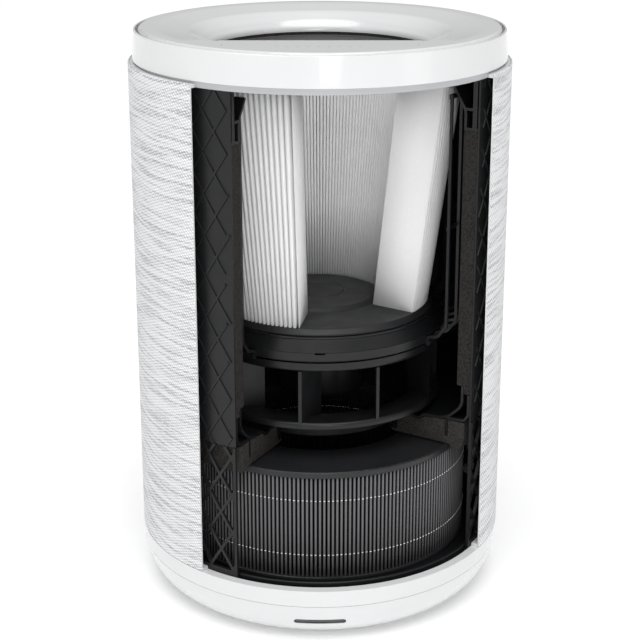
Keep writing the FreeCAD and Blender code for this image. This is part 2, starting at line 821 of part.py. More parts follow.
def blade(azimuth):
    """Backward-leaning blade, bowed outwards, clipped to the shroud below."""
    low = eye_level + 5.0
    lead = blade_inner_radius
    trail = impeller_radius - 0.6
    middle = (lead + trail) / 2

    def side(offset):
        turn = math.degrees(offset / middle)
        return [at(lead, azimuth + turn, low), at(middle, azimuth + turn - blade_lag * 0.62, low),
                at(trail, azimuth + turn - blade_lag, low)]
    near, far = side(-blade_wall * 0.6), side(blade_wall * 0.6)
    edges = [Part.Arc(*near).toShape(), Part.LineSegment(near[2], far[2]).toShape(),
             Part.Arc(*far[::-1]).toShape(), Part.LineSegment(far[0], near[0]).toShape()]
    prism = Part.Face(Part.Wire(edges)).extrude(V(0, 0, backplate_level - low))
    pieces = prism.cut(impeller_shroud()).Solids
    return max(pieces, key=lambda piece: piece.CenterOfMass.z)


def impeller_blades():
    return Part.makeCompound([blade(azimuth) for azimuth in spaced(blade_count)])


def cup_low():
    return eye_level + 19.3 + backplate_wall / 2


def rotor_cup():
    low = cup_low()
    corners = [(shaft_radius + 0.02, low), (cup_outer - 6, low), (cup_outer, low + 7.0, 0),
               (cup_outer, backplate_level - 6), (cup_outer - 2.0, backplate_level - 6),
               (cup_outer - 2.0, low + 8.0), (cup_outer - 7.4, low + 2.4), (7.0, low + 2.4),
               (7.0, low + 5.6), (shaft_radius + 0.02, low + 5.6)]
    return turned(corners)


def rotor_magnets():
    pieces = []
    count = 12
    low = cup_low() + 11
    outer = cup_outer - 2.1
    for azimuth in spaced(count):
        pieces.append(tube(outer - 2.6, outer, low, low + 28, azimuth, 360.0 / count - 3))
    return Part.makeCompound(pieces)


def rotor_shaft():
    top = pan_level + 4.4
    shaft = rod(shaft_radius, cup_low(), top, V(0, 0, 0))
    groove = tube(shaft_radius - 0.6, shaft_radius + 1, clip_level(), clip_level() + 0.9)
    return shaft.cut(groove)


def clip_level():
    return pan_level + 2.4


def shaft_clip():
    clip = tube(shaft_radius - 0.55, shaft_radius + 2.2, clip_level() + 0.05, clip_level() + 0.85)
    return clip.cut(block(0, 10, -1.4, 1.4, clip_level() - 1, clip_level() + 2))


# ---------------------------------------------------------------- motor
def tube_low():
    return cup_low() + 7.0


def bearing_carrier():
    """Flanged tube under the pan: bearings inside, stator outside."""
    low = tube_low()
    flange = pan_level + pan_wall
    step = bearing_radius - 1.2
    seat = bearing_radius + 0.02
    upper = pan_level + 1.6
    corners = [(seat, low), (tube_outer, low), (tube_outer, flange), (25.0, flange, 0.0),
               (25.0, flange + 2.4), (seat, flange + 2.4), (seat, upper - bearing_width),
               (step, upper - bearing_width), (step, low + bearing_width), (seat, low + bearing_width)]
    carrier = turned(corners)
    for azimuth in spaced(4, 45):
        carrier = carrier.cut(rod(1.7, flange - 1, flange + 4, at(20.0, azimuth)))
    return carrier


def bearing(low):
    inner = shaft_radius + running_gap
    ring = tube(inner, bearing_radius, low, low + bearing_width)
    groove = tube(inner + 1.9, bearing_radius - 1.9, low + bearing_width - 0.5, low + bearing_width + 1)
    groove_low = tube(inner + 1.9, bearing_radius - 1.9, low - 1, low + 0.5)
    return ring.cut(groove).cut(groove_low)


def motor_bearings():
    return Part.makeCompound([bearing(tube_low()), bearing(pan_level + 1.6 - bearing_width)])


def stator_low():
    return cup_low() + 15


def motor_stator():
    """Lamination stack: nine teeth with pole shoes on a ring."""
    low = stator_low()
    high = low + 20
    tip = cup_outer - 2.1 - 2.6 - 0.8
    pieces = [tube(tube_outer + 0.05, tube_outer + 5.5, low, high)]
    for azimuth in spaced(9):
        tooth = block(-2.6, 2.6, -(tip - 1.5), -(tube_outer + 4), low, high)
        tooth.rotate(V(0, 0, 0), V(0, 0, 1), azimuth)
        pieces.append(tooth)
        pieces.append(tube(tip - 2.4, tip, low, high, azimuth - 16, 32))
    return fused(pieces)


def motor_coils():
    coils = []
    low = stator_low() - 4
    tip = cup_outer - 2.1 - 2.6 - 0.8
    for azimuth in spaced(9):
        inner = tube_outer + 6.0
        coil = block(-4.9, 4.9, -(tip - 2.8), -inner, low, low + 28)
        coil = coil.cut(block(-2.7, 2.7, -tip, -inner + 3, low + 3.9, low + 24.1))
        coil.rotate(V(0, 0, 0), V(0, 0, 1), azimuth)
        coils.append(coil)
    return Part.makeCompound(coils)


def motor_pan():
    """Shallow pan above the impeller: the fixed carrier of the motor."""
    low = pan_level
    corners = [(tube_outer + 0.1, low), (pan_radius - 1.6, low), (pan_radius, low + 1.4),
               (pan_radius, pan_seam), (pan_radius - 4.4, pan_seam), (pan_radius - 4.4, low + pan_wall),
               (tube_outer + 0.1, low + pan_wall)]
    pan = turned(corners)
    for azimuth in spaced(4, 45):
        pan = pan.cut(rod(1.3, low - 1, low + pan_wall + 1, at(20.0, azimuth)))
    stands = [rod(3.0, low + pan_wall - 0.5, low + pan_wall + 3.0, at(60.0, azimuth))
              for azimuth in board_stand_places()]
    pan = fused([pan] + stands)
    return pan.cut(block(-4.5, 4.5, -pan_radius - 1, -pan_radius + 6, pan_seam - 1.4, pan_seam + 1))


def board_stand_places():
    return (125.0, 165.0, 205.0, 245.0)


def motor_screws():
    screws = []
    flange_top = pan_level + pan_wall + 2.4
    for azimuth in spaced(4, 45):
        place = at(20.0, azimuth)
        shank = rod(1.25, pan_level + 0.2, flange_top, place)
        screws.append(shank.fuse(rod(3.0, flange_top, flange_top + 2.0, place)).removeSplitter())
    return Part.makeCompound(screws)


def drive_board():
    """Half-ring circuit board with the motor drive, on stands in the pan."""
    low = pan_level + pan_wall + 3.0
    board = tube(34.0, board_edge, low, low + 1.6, 100.0, 170.0)
    parts = []
    for azimuth, radius, wide, high in ((125, board_edge - 16, 9, 7), (150, 52, 12, 5), (180, board_edge - 18, 14, 6),
                                        (210, 50, 8, 7), (235, board_edge - 18, 11, 6)):
        piece = block(-wide / 2, wide / 2, -radius - wide / 2, -radius + wide / 2, low + 1.6, low + 1.6 + high)
        piece.rotate(V(0, 0, 0), V(0, 0, 1), azimuth)
        parts.append(piece)
    return fused([board] + parts)


def pan_cover():
    foot = pan_radius - 0.9
    shoulder = pan_radius - 7.0
    plate = pan_top - pan_wall
    lip = shoulder - 1.0
    corners = [(0, plate), (shoulder - pan_wall, plate, 1.0), (foot - pan_wall, pan_seam),
               (foot, pan_seam), (shoulder, pan_top, 1.0), (lip, pan_top),
               (lip, gasket_top, 0.5), (lip - 9.0, gasket_top, 0.5), (lip - 9.0, pan_top), (0, pan_top)]
    cover = turned(corners)
    groove = tube(lip - 1.8, lip - 1.0, gasket_top - 0.6, gasket_top + 1)
    return cover.cut(groove)


# ---------------------------------------------------------------- filter cage
def cage_bottom_path():
    low = pan_level
    foot = pan_radius + fit_gap + cage_rib_depth / 2
    return [(cage_radius, cage_top()), (cage_radius, low + 20.0, 10), (cage_radius - 8.5, low + 9.0, 6),
            (foot, low + 6.5, 3), (foot, low - 0.8)]


def cage_top():
    return web_level + 29.8


def cage_rib(azimuth):
    corners = ribbon(cage_bottom_path(), cage_rib_depth)
    angle = math.degrees(cage_rib_width / cage_radius)
    return turned(corners, azimuth - angle / 2, angle)


def cage_ribs():
    """Thin upright ribs of the basket, from the top frame down to the motor pan."""
    sweep = window_sweep(cage_left, cage_right)
    places = [cage_right + sweep * index / (cage_rib_count - 1) for index in range(cage_rib_count)]
    return Part.makeCompound([cage_rib(azimuth) for azimuth in places])


def cage_hoops():
    """Hoops that tie the ribs together: two inside them and one round their feet."""
    right = cage_right
    sweep = window_sweep(cage_left, right)
    high = cage_top()
    outer = cage_radius - cage_rib_depth / 2 - hoop_gap
    foot = pan_radius + fit_gap + cage_rib_depth + hoop_gap
    hoops = [tube(outer - hoop_wall, outer, high - 4, high, right, sweep),
             tube(outer - hoop_wall, outer, web_level - 90, web_level - 87, right, sweep),
             tube(foot, foot + hoop_wall, pan_level - 0.5, pan_level + 3.8, right, sweep)]
    return Part.makeCompound(hoops)


# ---------------------------------------------------------------- build
NODES = [base_bowl, rubber_feet, sensor_window, sensor_module, floor_tray, tray_screws,
         base_ring, power_socket, shell_wall, shell_lattice, fabric_sleeve, sleeve_top_hoop,
         sleeve_bottom_hoop, foam_liner, top_frame, frame_screws, top_collar, lid_ring,
         cage_ribs, cage_hoops, motor_pan, pan_cover, drive_board, bearing_carrier, motor_bearings,
         motor_stator, motor_coils, motor_screws, fan_deck, deck_seal,
         impeller_backplate, impeller_blades, impeller_shroud, rotor_cup, rotor_magnets,
         rotor_shaft, shaft_clip,
         upper_media, upper_base_cap, upper_top_cap, upper_seal,
         lid_disc, outlet_grille, touch_panel, control_board, board_screws, lid_seal,
         lower_media, lower_top_cap, lower_bottom_cap, lower_inner_mesh]

os.makedirs("parts", exist_ok=True)
for make in NODES:
    shape = make()
    print(make.__name__, len(shape.Solids), round(shape.Volume / 1000, 1), shape.isValid())
    shape.exportStep("parts/" + make.__name__ + ".step")
print("height", round(lid_level, 1), "diameter", 2 * body_radius)
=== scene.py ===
"""Looks of a round floor-standing air purifier, cut open at the front.

Lengths in the piece builders are millimetres in the part's own frame; azimuths are degrees from the
front (-Y) towards +X.
"""
import math
import random

import bmesh
import bpy
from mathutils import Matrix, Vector, noise


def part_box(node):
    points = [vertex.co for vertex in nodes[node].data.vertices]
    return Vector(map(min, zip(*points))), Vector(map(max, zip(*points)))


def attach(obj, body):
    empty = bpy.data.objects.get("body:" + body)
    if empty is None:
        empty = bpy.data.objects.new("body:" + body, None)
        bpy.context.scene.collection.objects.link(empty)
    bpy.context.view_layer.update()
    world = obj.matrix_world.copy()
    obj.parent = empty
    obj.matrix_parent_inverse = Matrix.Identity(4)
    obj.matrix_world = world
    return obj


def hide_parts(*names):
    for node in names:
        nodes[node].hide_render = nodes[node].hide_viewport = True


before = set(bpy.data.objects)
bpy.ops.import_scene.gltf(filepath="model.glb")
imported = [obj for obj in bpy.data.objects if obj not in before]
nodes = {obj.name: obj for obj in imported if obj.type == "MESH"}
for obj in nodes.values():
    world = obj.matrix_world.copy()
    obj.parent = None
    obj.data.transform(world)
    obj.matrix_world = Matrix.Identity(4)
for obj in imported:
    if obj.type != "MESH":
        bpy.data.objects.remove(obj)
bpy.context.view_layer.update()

MM = 0.001
random.seed(7)

# levels and radii that the pieces share, in millimetres
WINDOW = (57.3, 275.8)          # first azimuth and sweep of the cut shell
SLEEVE = (59.3, 262.5)
FILTER = (56.0, 293.6)
UPPER_PLEATS = 123
LOWER_PLEATS = 226

# stitch spacing of the fabric, in metres
SLANT_PITCH = 0.0036
LEVEL_PITCH = 0.0026

# light that the sky gives, and how bright the lens sees it
SKY_LIGHT = 0.42
SKY_SEEN = 1.0


def place(radius, azimuth, level):
    angle = math.radians(azimuth)
    return Vector((radius * math.sin(angle), -radius * math.cos(angle), level)) * MM


# ---------------------------------------------------------------- materials
class Nodes:
    """Short way to wire a material: each call adds one node and returns its output."""

    def __init__(self, name):
        self.material = bpy.data.materials.new(name)
        self.material.use_nodes = True
        self.tree = self.material.node_tree
        self.shader = self.tree.nodes["Principled BSDF"]
        self.where = self.tree.nodes.new("ShaderNodeTexCoord").outputs["Object"]

    def put(self, value, socket):
        if isinstance(value, bpy.types.NodeSocket):
            self.tree.links.new(value, socket)
        else:
            socket.default_value = value

    def math(self, operation, *values):
        node = self.tree.nodes.new("ShaderNodeMath")
        node.operation = operation
        for value, socket in zip(values, node.inputs):
            self.put(value, socket)
        return node.outputs[0]

    def noise(self, scale, detail=3.0, rough=0.5, where=None, stretch=(1, 1, 1)):
        mapping = self.tree.nodes.new("ShaderNodeMapping")
        mapping.inputs["Scale"].default_value = stretch
        self.put(where or self.where, mapping.inputs["Vector"])
        node = self.tree.nodes.new("ShaderNodeTexNoise")
        node.inputs["Scale"].default_value = scale
        node.inputs["Detail"].default_value = detail
        node.inputs["Roughness"].default_value = rough
        self.put(mapping.outputs[0], node.inputs["Vector"])
        return node.outputs[0]

    def cells(self, scale):
        node = self.tree.nodes.new("ShaderNodeTexVoronoi")
        node.inputs["Scale"].default_value = scale
        self.put(self.where, node.inputs["Vector"])
        return node.outputs["Distance"]

    def band(self, value, low, high, to_low=0.0, to_high=1.0):
        node = self.tree.nodes.new("ShaderNodeMapRange")
        node.interpolation_type = "SMOOTHSTEP"
        for socket, number in zip(node.inputs, (value, low, high, to_low, to_high)):
            self.put(number, socket)
        return node.outputs[0]

    def mix(self, factor, first, second):
        node = self.tree.nodes.new("ShaderNodeMix")
        node.data_type = "RGBA"
        self.put(factor, node.inputs["Factor"])
        self.put(colour(first), node.inputs["A"])
        self.put(colour(second), node.inputs["B"])
        return node.outputs["Result"]

    def axes(self, where=None):
        node = self.tree.nodes.new("ShaderNodeSeparateXYZ")
        self.put(where or self.where, node.inputs[0])
        return node.outputs

    def radius(self):
        x, y, _ = self.axes()
        return self.math("SQRT", self.math("ADD", self.math("MULTIPLY", x, x), self.math("MULTIPLY", y, y)))

    def bump(self, height, strength, distance, below=None):
        node = self.tree.nodes.new("ShaderNodeBump")
        node.inputs["Strength"].default_value = strength
        node.inputs["Distance"].default_value = distance
        self.put(height, node.inputs["Height"])
        if below is not None:
            self.put(below, node.inputs["Normal"])
        return node.outputs[0]

    def set(self, **values):
        names = {"color": "Base Color", "rough": "Roughness", "normal": "Normal", "metal": "Metallic",
                 "coat": "Coat Weight", "coat_rough": "Coat Roughness", "sheen": "Sheen Weight",
                 "spec": "Specular IOR Level", "emit": "Emission Strength",
                 "glow": "Emission Color"}
        for key, value in values.items():
            self.put(colour(value), self.shader.inputs[names[key]])
        return self.material


def colour(value):
    if isinstance(value, (tuple, list)) and len(value) == 3:
        return (*value, 1.0)
    return value


def plastic(name, shade, rough, grain=1500.0, depth=0.00004, swing=0.12, coat=0.0, spec=0.5):
    """Moulded plastic: even colour with a slight flow pattern, fine grain and worn-in gloss."""
    n = Nodes(name)
    flow = n.noise(14.0, 4.0, 0.55)
    fine = n.noise(grain, 2.0, 0.6)
    low = tuple(c * (1 - swing) for c in shade)
    high = tuple(min(c * (1 + swing), 1.0) for c in shade)
    return n.set(color=n.mix(flow, low, high),
                 rough=n.band(n.noise(60.0, 5.0), 0.3, 0.7, rough * 0.88, rough * 1.12),
                 normal=n.bump(fine, 0.35, depth), coat=coat, coat_rough=0.08, spec=spec)


def metal(name, shade, rough, stretch=(1, 1, 30)):
    n = Nodes(name)
    lines = n.noise(300.0, 3.0, 0.6, stretch=stretch)
    return n.set(color=n.mix(n.noise(40.0), tuple(c * 0.85 for c in shade), shade), metal=1.0,
                 rough=n.band(lines, 0.3, 0.7, rough * 0.8, rough * 1.25),
                 normal=n.bump(lines, 0.15, 0.00005))


def foam(name, dark, light, cell=520.0):
    """Open-cell foam: small hollow cells whose centres are darkened with painted shade, so the cell walls look
    lighter.
    """
    n = Nodes(name)
    cell_pits_and_shade = n.cells(cell)
    large = n.noise(90.0, 5.0, 0.65)
    # the Voronoi cells set the bump and also darken the cell centres, which is painted shade; the large noise is
    # random tone
    grain = n.math("ADD", n.math("MULTIPLY", cell_pits_and_shade, 0.7), n.math("MULTIPLY", large, 0.5))
    return n.set(color=n.mix(n.band(grain, 0.25, 0.75), dark, light), rough=0.95, spec=0.2,
                 normal=n.bump(large, 0.5, 0.0012, n.bump(cell_pits_and_shade, 0.8, 0.0006)))


def paper(name, dark, light, crest_highlight_radius=None, crest_highlight=None, fuzz=0.3):
    """Filter paper: fibrous, matt; where it is dark, the outer fold crests get a painted highlight in a paler colour.
    """
    n = Nodes(name)
    fibre = n.noise(900.0, 4.0, 0.7, stretch=(1, 1, 0.25))
    shade = n.mix(n.band(fibre, 0.3, 0.7), dark, light)
    # painted highlight: a paler colour over the outermost radius band, on the fold crests
    if crest_highlight:
        shade = n.mix(n.band(n.radius(), crest_highlight_radius[0] * MM, crest_highlight_radius[1] * MM), shade, crest_highlight)
    return n.set(color=shade, rough=0.9, spec=0.15, normal=n.bump(fibre, fuzz, 0.0001))


def heather():
    """White fabric: fine slanted weave with uneven level streaks of grey yarn, and painted shade darkening the low
    points of the weave.
    """
    n = Nodes("heathered_fabric")
    flat = n.tree.nodes.new("ShaderNodeUVMap")
    flat.uv_map = "cloth"
    u, v, _ = n.axes(flat.outputs[0])
    bend = n.noise(9.0, 2.0, 0.5, flat.outputs[0])
    v2 = n.math("ADD", v, n.math("MULTIPLY", n.math("SUBTRACT", bend, 0.5), 0.012))
    warped = n.tree.nodes.new("ShaderNodeCombineXYZ")
    n.put(u, warped.inputs[0])
    n.put(v2, warped.inputs[1])
    spot = warped.outputs[0]
    long_streak = n.noise(1.0, 5.0, 0.62, spot, (14.0, 300.0, 1.0))
    short_streak = n.noise(1.0, 4.0, 0.7, spot, (160.0, 900.0, 1.0))
    yarn = n.noise(1.0, 2.0, 0.6, spot, (300.0, 1300.0, 1.0))
    grey = n.math("MULTIPLY", n.band(long_streak, 0.46, 0.60), n.band(short_streak, 0.42, 0.60))
    grey = n.math("ADD", n.math("MULTIPLY", grey, 0.95), n.math("MULTIPLY", n.band(yarn, 0.50, 0.78), 0.20))
    slant = n.math("SINE", n.math("MULTIPLY", n.math("ADD", u, n.math("MULTIPLY", v, 0.9)),
                                  2 * math.pi / SLANT_PITCH))
    level = n.math("SINE", n.math("MULTIPLY", n.math("SUBTRACT", n.math("MULTIPLY", u, 0.35), v),
                                  2 * math.pi / LEVEL_PITCH))
    weave = n.math("MULTIPLY", n.math("ADD", slant, 1.0), n.math("ADD", level, 1.0))
    weave = n.math("MULTIPLY", weave, 0.25)
    shade = n.mix(n.math("MINIMUM", grey, 1.0), (0.88, 0.885, 0.89), (0.50, 0.51, 0.53))
    # painted shade: where the weave bump is low the colour goes to grey-black, more strongly along the streaks
    weave_gap_shade = n.band(weave, 0.0, 0.30, 1.0, 0.0)
    streaked = n.math("MULTIPLY", n.band(long_streak, 0.42, 0.64), 0.40)
    weave_gap_shade = n.math("MULTIPLY", weave_gap_shade, n.math("ADD", 0.36, streaked))
    shade = n.mix(weave_gap_shade, shade, (0.22, 0.23, 0.25))
    return n.set(color=shade, rough=0.92, spec=0.2, sheen=0.15, normal=n.bump(weave, 0.55, 0.0005))


def lid_plastic():
    """Glossy white with the console's faint generic tick marks, and two microphone pinholes painted as near-black
    dots: painted shade standing in for the holes.
    """
    n = Nodes("white_gloss_lid")
    x, y, z = n.axes()
    flow = n.noise(12.0, 3.0)
    base = n.mix(flow, (0.70, 0.705, 0.71), (0.76, 0.765, 0.77))
    row = n.math("LESS_THAN", n.math("ABSOLUTE", n.math("ADD", y, 0.127)), 0.0014)
    tick = n.math("LESS_THAN", n.math("ABSOLUTE", n.math("SUBTRACT", n.math("FRACT", n.math(
        "MULTIPLY", n.math("ADD", x, 1.0), 1 / 0.0085)), 0.5)), 0.16)
    near = n.math("LESS_THAN", n.math("ABSOLUTE", x), 0.036)
    top = n.math("GREATER_THAN", z, 0.5218)
    mark = n.math("MULTIPLY", n.math("MULTIPLY", row, tick), n.math("MULTIPLY", near, top))
    # painted shade: two near-black dots stand in for the microphone pinholes
    side = n.math("SUBTRACT", n.math("ABSOLUTE", x), 0.080)
    away = n.math("ADD", y, 0.118)
    pinhole_shade = n.math("LESS_THAN", n.math("SQRT", n.math("ADD", n.math("MULTIPLY", side, side),
                                                      n.math("MULTIPLY", away, away))), 0.0009)
    shade = n.mix(n.math("MULTIPLY", mark, 0.30), base, (0.25, 0.26, 0.27))
    shade = n.mix(n.math("MULTIPLY", pinhole_shade, top), shade, (0.03, 0.03, 0.03))
    return n.set(color=shade, rough=0.16, coat=0.5, coat_rough=0.05,
                 normal=n.bump(n.noise(700.0), 0.08, 0.00003))


white_gloss = plastic("white_gloss", (0.72, 0.725, 0.73), 0.14, 900.0, 0.00002, 0.03, 0.6)
white_satin = plastic("white_satin", (0.70, 0.70, 0.70), 0.38, swing=0.03)
light_grey = plastic("light_grey", (0.46, 0.47, 0.48), 0.36, swing=0.05)
black = plastic("black_plastic", (0.0065, 0.0068, 0.0076), 0.36, 1300.0, 0.00006, 0.25, spec=0.38)
black_shell = plastic("black_shell", (0.0075, 0.0078, 0.0086), 0.44, 1100.0, 0.00008, 0.25, spec=0.36)
dark_grey = plastic("dark_grey_plastic", (0.016, 0.0165, 0.018), 0.42, 1200.0, 0.00006, 0.2, spec=0.4)
grille_grey = plastic("grille_grey", (0.13, 0.132, 0.138), 0.40, 1200.0, 0.00006, 0.12)
smoke = plastic("smoked_lens", (0.012, 0.012, 0.014), 0.12, swing=0.1, coat=0.5)
rubber = plastic("foot_rubber", (0.030, 0.030, 0.031), 0.75, 700.0, 0.0001, 0.2)
steel = metal("ground_steel", (0.56, 0.56, 0.57), 0.30)
lamination = metal("stamped_steel", (0.30, 0.30, 0.31), 0.42, (1, 1, 60))
copper = metal("copper_wire", (0.72, 0.34, 0.16), 0.32, (1, 1, 12))
ferrite = plastic("bonded_ferrite", (0.05, 0.05, 0.055), 0.6)
board = plastic("solder_mask", (0.02, 0.12, 0.05), 0.35, swing=0.2)
foam_brown = foam("liner_foam", (0.010, 0.009, 0.0085), (0.030, 0.027, 0.025))
foam_deck = foam("deck_foam", (0.012, 0.0108, 0.010), (0.040, 0.036, 0.033), 620.0)
white_paper = paper("white_pleats", (0.84, 0.84, 0.84), (0.87, 0.87, 0.87), fuzz=0.03)
# dark pleats with a painted highlight on the outer fold crests, from radius 136.6 to 137.6 mm
dark_paper = paper("dark_pleats", (0.007, 0.007, 0.008), (0.013, 0.013, 0.014), (136.6, 137.6),
                   (0.15, 0.15, 0.155))
glue = plastic("hot_glue", (0.84, 0.84, 0.82), 0.35, swing=0.03)
cloth = heather()
cut_edge = paper("cut_fabric_edge", (0.62, 0.62, 0.62), (0.80, 0.80, 0.80))
lid_white = lid_plastic()

FINISH = {
    white_gloss: ("base_bowl", "base_ring", "lid_ring"),
    lid_white: ("lid_disc",),
    white_satin: ("sleeve_top_hoop", "sleeve_bottom_hoop"),
    light_grey: ("top_collar",),
    black: ("top_frame", "cage_ribs", "cage_hoops", "floor_tray", "motor_pan", "pan_cover", "fan_deck",
            "bearing_carrier", "impeller_backplate", "impeller_blades", "impeller_shroud", "power_socket",
            "sensor_module"),
    black_shell: ("shell_wall", "shell_lattice"),
    grille_grey: ("outlet_grille",),
    dark_grey: ("upper_base_cap", "upper_top_cap", "lower_top_cap", "lower_bottom_cap"),
    smoke: ("sensor_window", "touch_panel"),
    rubber: ("rubber_feet",),
    steel: ("tray_screws", "frame_screws", "motor_screws", "board_screws", "rotor_shaft", "shaft_clip",
            "motor_bearings"),
    lamination: ("rotor_cup", "motor_stator"),
    copper: ("motor_coils",),
    ferrite: ("rotor_magnets",),
    board: ("drive_board", "control_board"),
}
for material, names in FINISH.items():
    for name in names:
        mesh = nodes[name].data
        mesh.materials.clear()
        mesh.materials.append(material)


# ---------------------------------------------------------------- mesh helpers
def finish_piece(name, body, material, replaced=(), smooth=35.0):
    """Makes the object of a bmesh that was built by one of the helpers below."""
    bm, more = body["mesh"], body.get("materials", [])
    mesh = bpy.data.meshes.new(name)
    bmesh.ops.recalc_face_normals(bm, faces=bm.faces)
    bm.to_mesh(mesh)
    bm.free()
    piece = bpy.data.objects.new(name, mesh)
    bpy.context.scene.collection.objects.link(piece)
    for item in [material] + more:
        mesh.materials.append(item)
    if smooth:
        mesh.polygons.foreach_set("use_smooth", [True] * len(mesh.polygons))
        mesh.set_sharp_from_angle(angle=math.radians(smooth))
    if replaced:
        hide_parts(*replaced)
    return piece


def rounded(corners, steps=4):
    """Closed outline of (r, z[, radius]) corners with its rounded corners cut into short chords."""
    points = []
    for index, corner in enumerate(corners):
        here = Vector(corner[:2])
        if len(corner) < 3 or corner[2] <= 0:
            points.append(tuple(here))
            continue
        before = Vector(corners[index - 1][:2])
        after = Vector(corners[(index + 1) % len(corners)][:2])
        back, onward = (before - here).normalized(), (after - here).normalized()
        reach = corner[2] / math.tan(back.angle(onward) / 2)
        start, end = here + back * reach, here + onward * reach
        for step in range(steps + 1):
            t = step / steps
            points.append(tuple(start.lerp(here, t).lerp(here.lerp(end, t), t)))
    return points


def densify(points, pitch):
    out = []
    for index, point in enumerate(points):
        here, there = Vector(point), Vector(points[(index + 1) % len(points)])
        count = max(1, int((there - here).length / pitch))
        out += [tuple(here.lerp(there, k / count)) for k in range(count)]
    return out


def swept(outline, first, sweep, count, rough=0.0, scale=60.0):
    """Solid turned about the axis, its surface moved by a little noise if asked."""
    bm = bmesh.new()
    whole = sweep >= 360
    rings = []
    for step in range(count if whole else count + 1):
        azimuth = first + sweep * step / count
        ring = []
        for radius, level in outline:
            spot = place(radius, azimuth, level)
            if rough:
                spot += spot.normalized() * (noise.noise(spot * scale * 10) * rough * MM)
            ring.append(bm.verts.new(spot))
        rings.append(ring)
    pairs = list(zip(rings, rings[1:])) + ([(rings[-1], rings[0])] if whole else [])
    for one, other in pairs:
        for k in range(len(outline)):
            j = (k + 1) % len(outline)
            bm.faces.new((one[k], one[j], other[j], other[k]))
    if not whole:
        bm.faces.new(rings[0])
        bm.faces.new(rings[-1][::-1])
    return {"mesh": bm}


def pleated(count, first, sweep, low, high, outer, inner, fold, thick, levels=2, wave=0.0):
    """Folded paper between two levels; outer and inner are (radius at low, radius at high)."""
    bm = bmesh.new()
    half = sweep / count / 2
    whole = sweep >= 360
    rows = []
    last = 2 * count if whole else 2 * count + 1
    for level_index in range(levels):
        t = level_index / (levels - 1)
        level = low + (high - low) * t
        r_out = outer[0] + (outer[1] - outer[0]) * t
        r_in = inner[0] + (inner[1] - inner[0]) * t
        row = []
        for k in range(last):
            azimuth = first + half * k
            out = k % 2 == 0
            base = r_out if out else r_in
            bend = fold * 2 * half * math.radians(1) * base
            if not whole and k in (0, last - 1):
                row.append(bm.verts.new(place(base, azimuth, level)))
                continue
            drift = wave * math.sin(k * 1.7 + t * 5.0) * random.uniform(0.4, 1.0) if wave else 0.0
            for angle in (-80, -40, 0, 40, 80):
                c, s = math.cos(math.radians(angle)), math.sin(math.radians(angle))
                radius = base - bend + bend * c if out else base + bend - bend * c
                turn = math.degrees((bend * s + drift) / radius)
                row.append(bm.verts.new(place(radius, azimuth + turn, level)))
        rows.append(row)
    for one, other in zip(rows, rows[1:]):
        pairs = list(zip(one, one[1:], other, other[1:]))
        if whole:
            pairs.append((one[-1], one[0], other[-1], other[0]))
        for a, b, c, d in pairs:
            bm.faces.new((a, b, d, c))
    return {"mesh": bm, "thick": thick}


def thicken(piece, thick):
    modifier = piece.modifiers.new("paper", "SOLIDIFY")
    modifier.thickness = thick * MM
    modifier.offset = 0.0
    return piece


def strip(bm, points, wide, tall):
    """Raised rib with a flat crown along points (radius, azimuth, level) on a drum."""
    rings = []
    for index, (radius, azimuth, level) in enumerate(points):
        other = points[index + 1] if index + 1 < len(points) else points[index - 1]
        across_az = math.radians(other[1] - azimuth) * radius
        across_z = other[2] - level
        if index + 1 == len(points):
            across_az, across_z = -across_az, -across_z
        size = math.hypot(across_az, across_z)
        side_az, side_z = -across_z / size, across_az / size
        ring = []
        for offset, lift in ((-0.5, -0.3), (-0.36, tall), (0.36, tall), (0.5, -0.3)):
            turn = math.degrees(side_az * wide * offset / radius)
            ring.append(bm.verts.new(place(radius + lift, azimuth + turn, level + side_z * wide * offset)))
        rings.append(ring)
    for one, other in zip(rings, rings[1:]):
        for k in range(4):
            j = (k + 1) % 4
            bm.faces.new((one[k], one[j], other[j], other[k]))
    bm.faces.new(rings[0])
    bm.faces.new(rings[-1][::-1])


# ---------------------------------------------------------------- pieces
def fabric_sleeve():
    """One thin sheet of cloth round the shell, with its pale cut edges."""
    first, sweep = SLEEVE
    low, high, outer, inner = 54.6, 492.7, 169.9, 168.6
    bm = bmesh.new()
    layer = bm.loops.layers.uv.new("cloth")
    outline = rounded([(inner, low), (outer, low, 0.5), (outer, high, 0.5), (inner, high)])
    outline = densify(outline, 12.0)
    count = 200
    rings = []
    for step in range(count + 1):
        azimuth = first + sweep * step / count
        rings.append([bm.verts.new(place(r, azimuth, z)) for r, z in outline])
    for index, (one, other) in enumerate(zip(rings, rings[1:])):
        for k in range(len(outline)):
            j = (k + 1) % len(outline)
            face = bm.faces.new((one[k], one[j], other[j], other[k]))
            arc = [first + sweep * (index + extra) / count for extra in (0, 0, 1, 1)]
            tall = [outline[k][1], outline[j][1], outline[j][1], outline[k][1]]
            for loop, a, z in zip(face.loops, arc, tall):
                loop[layer].uv = (math.radians(a) * outer * MM, z * MM)
    for ring in (rings[0], rings[-1][::-1]):
        bm.faces.new(ring).material_index = 1
    piece = finish_piece("cloth_sleeve", {"mesh": bm, "materials": [cut_edge]}, cloth, ("fabric_sleeve",))
    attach(piece, "chassis")


def foam_liner():
    outline = rounded([(145.5, 443.3, 1.2), (158.5, 443.3, 0.6), (158.5, 204.3, 0.6), (152.7, 204.3, 0.6),
                       (152.7, 211.3), (145.5, 211.3, 1.2)], 3)
    wall = swept(densify(outline, 5.0), WINDOW[0] + 0.05, WINDOW[1] - 0.1, 150, 0.12)
    piece = finish_piece("foam_wall", wall,
                         foam_brown, ("foam_liner",), 50.0)
    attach(piece, "chassis")


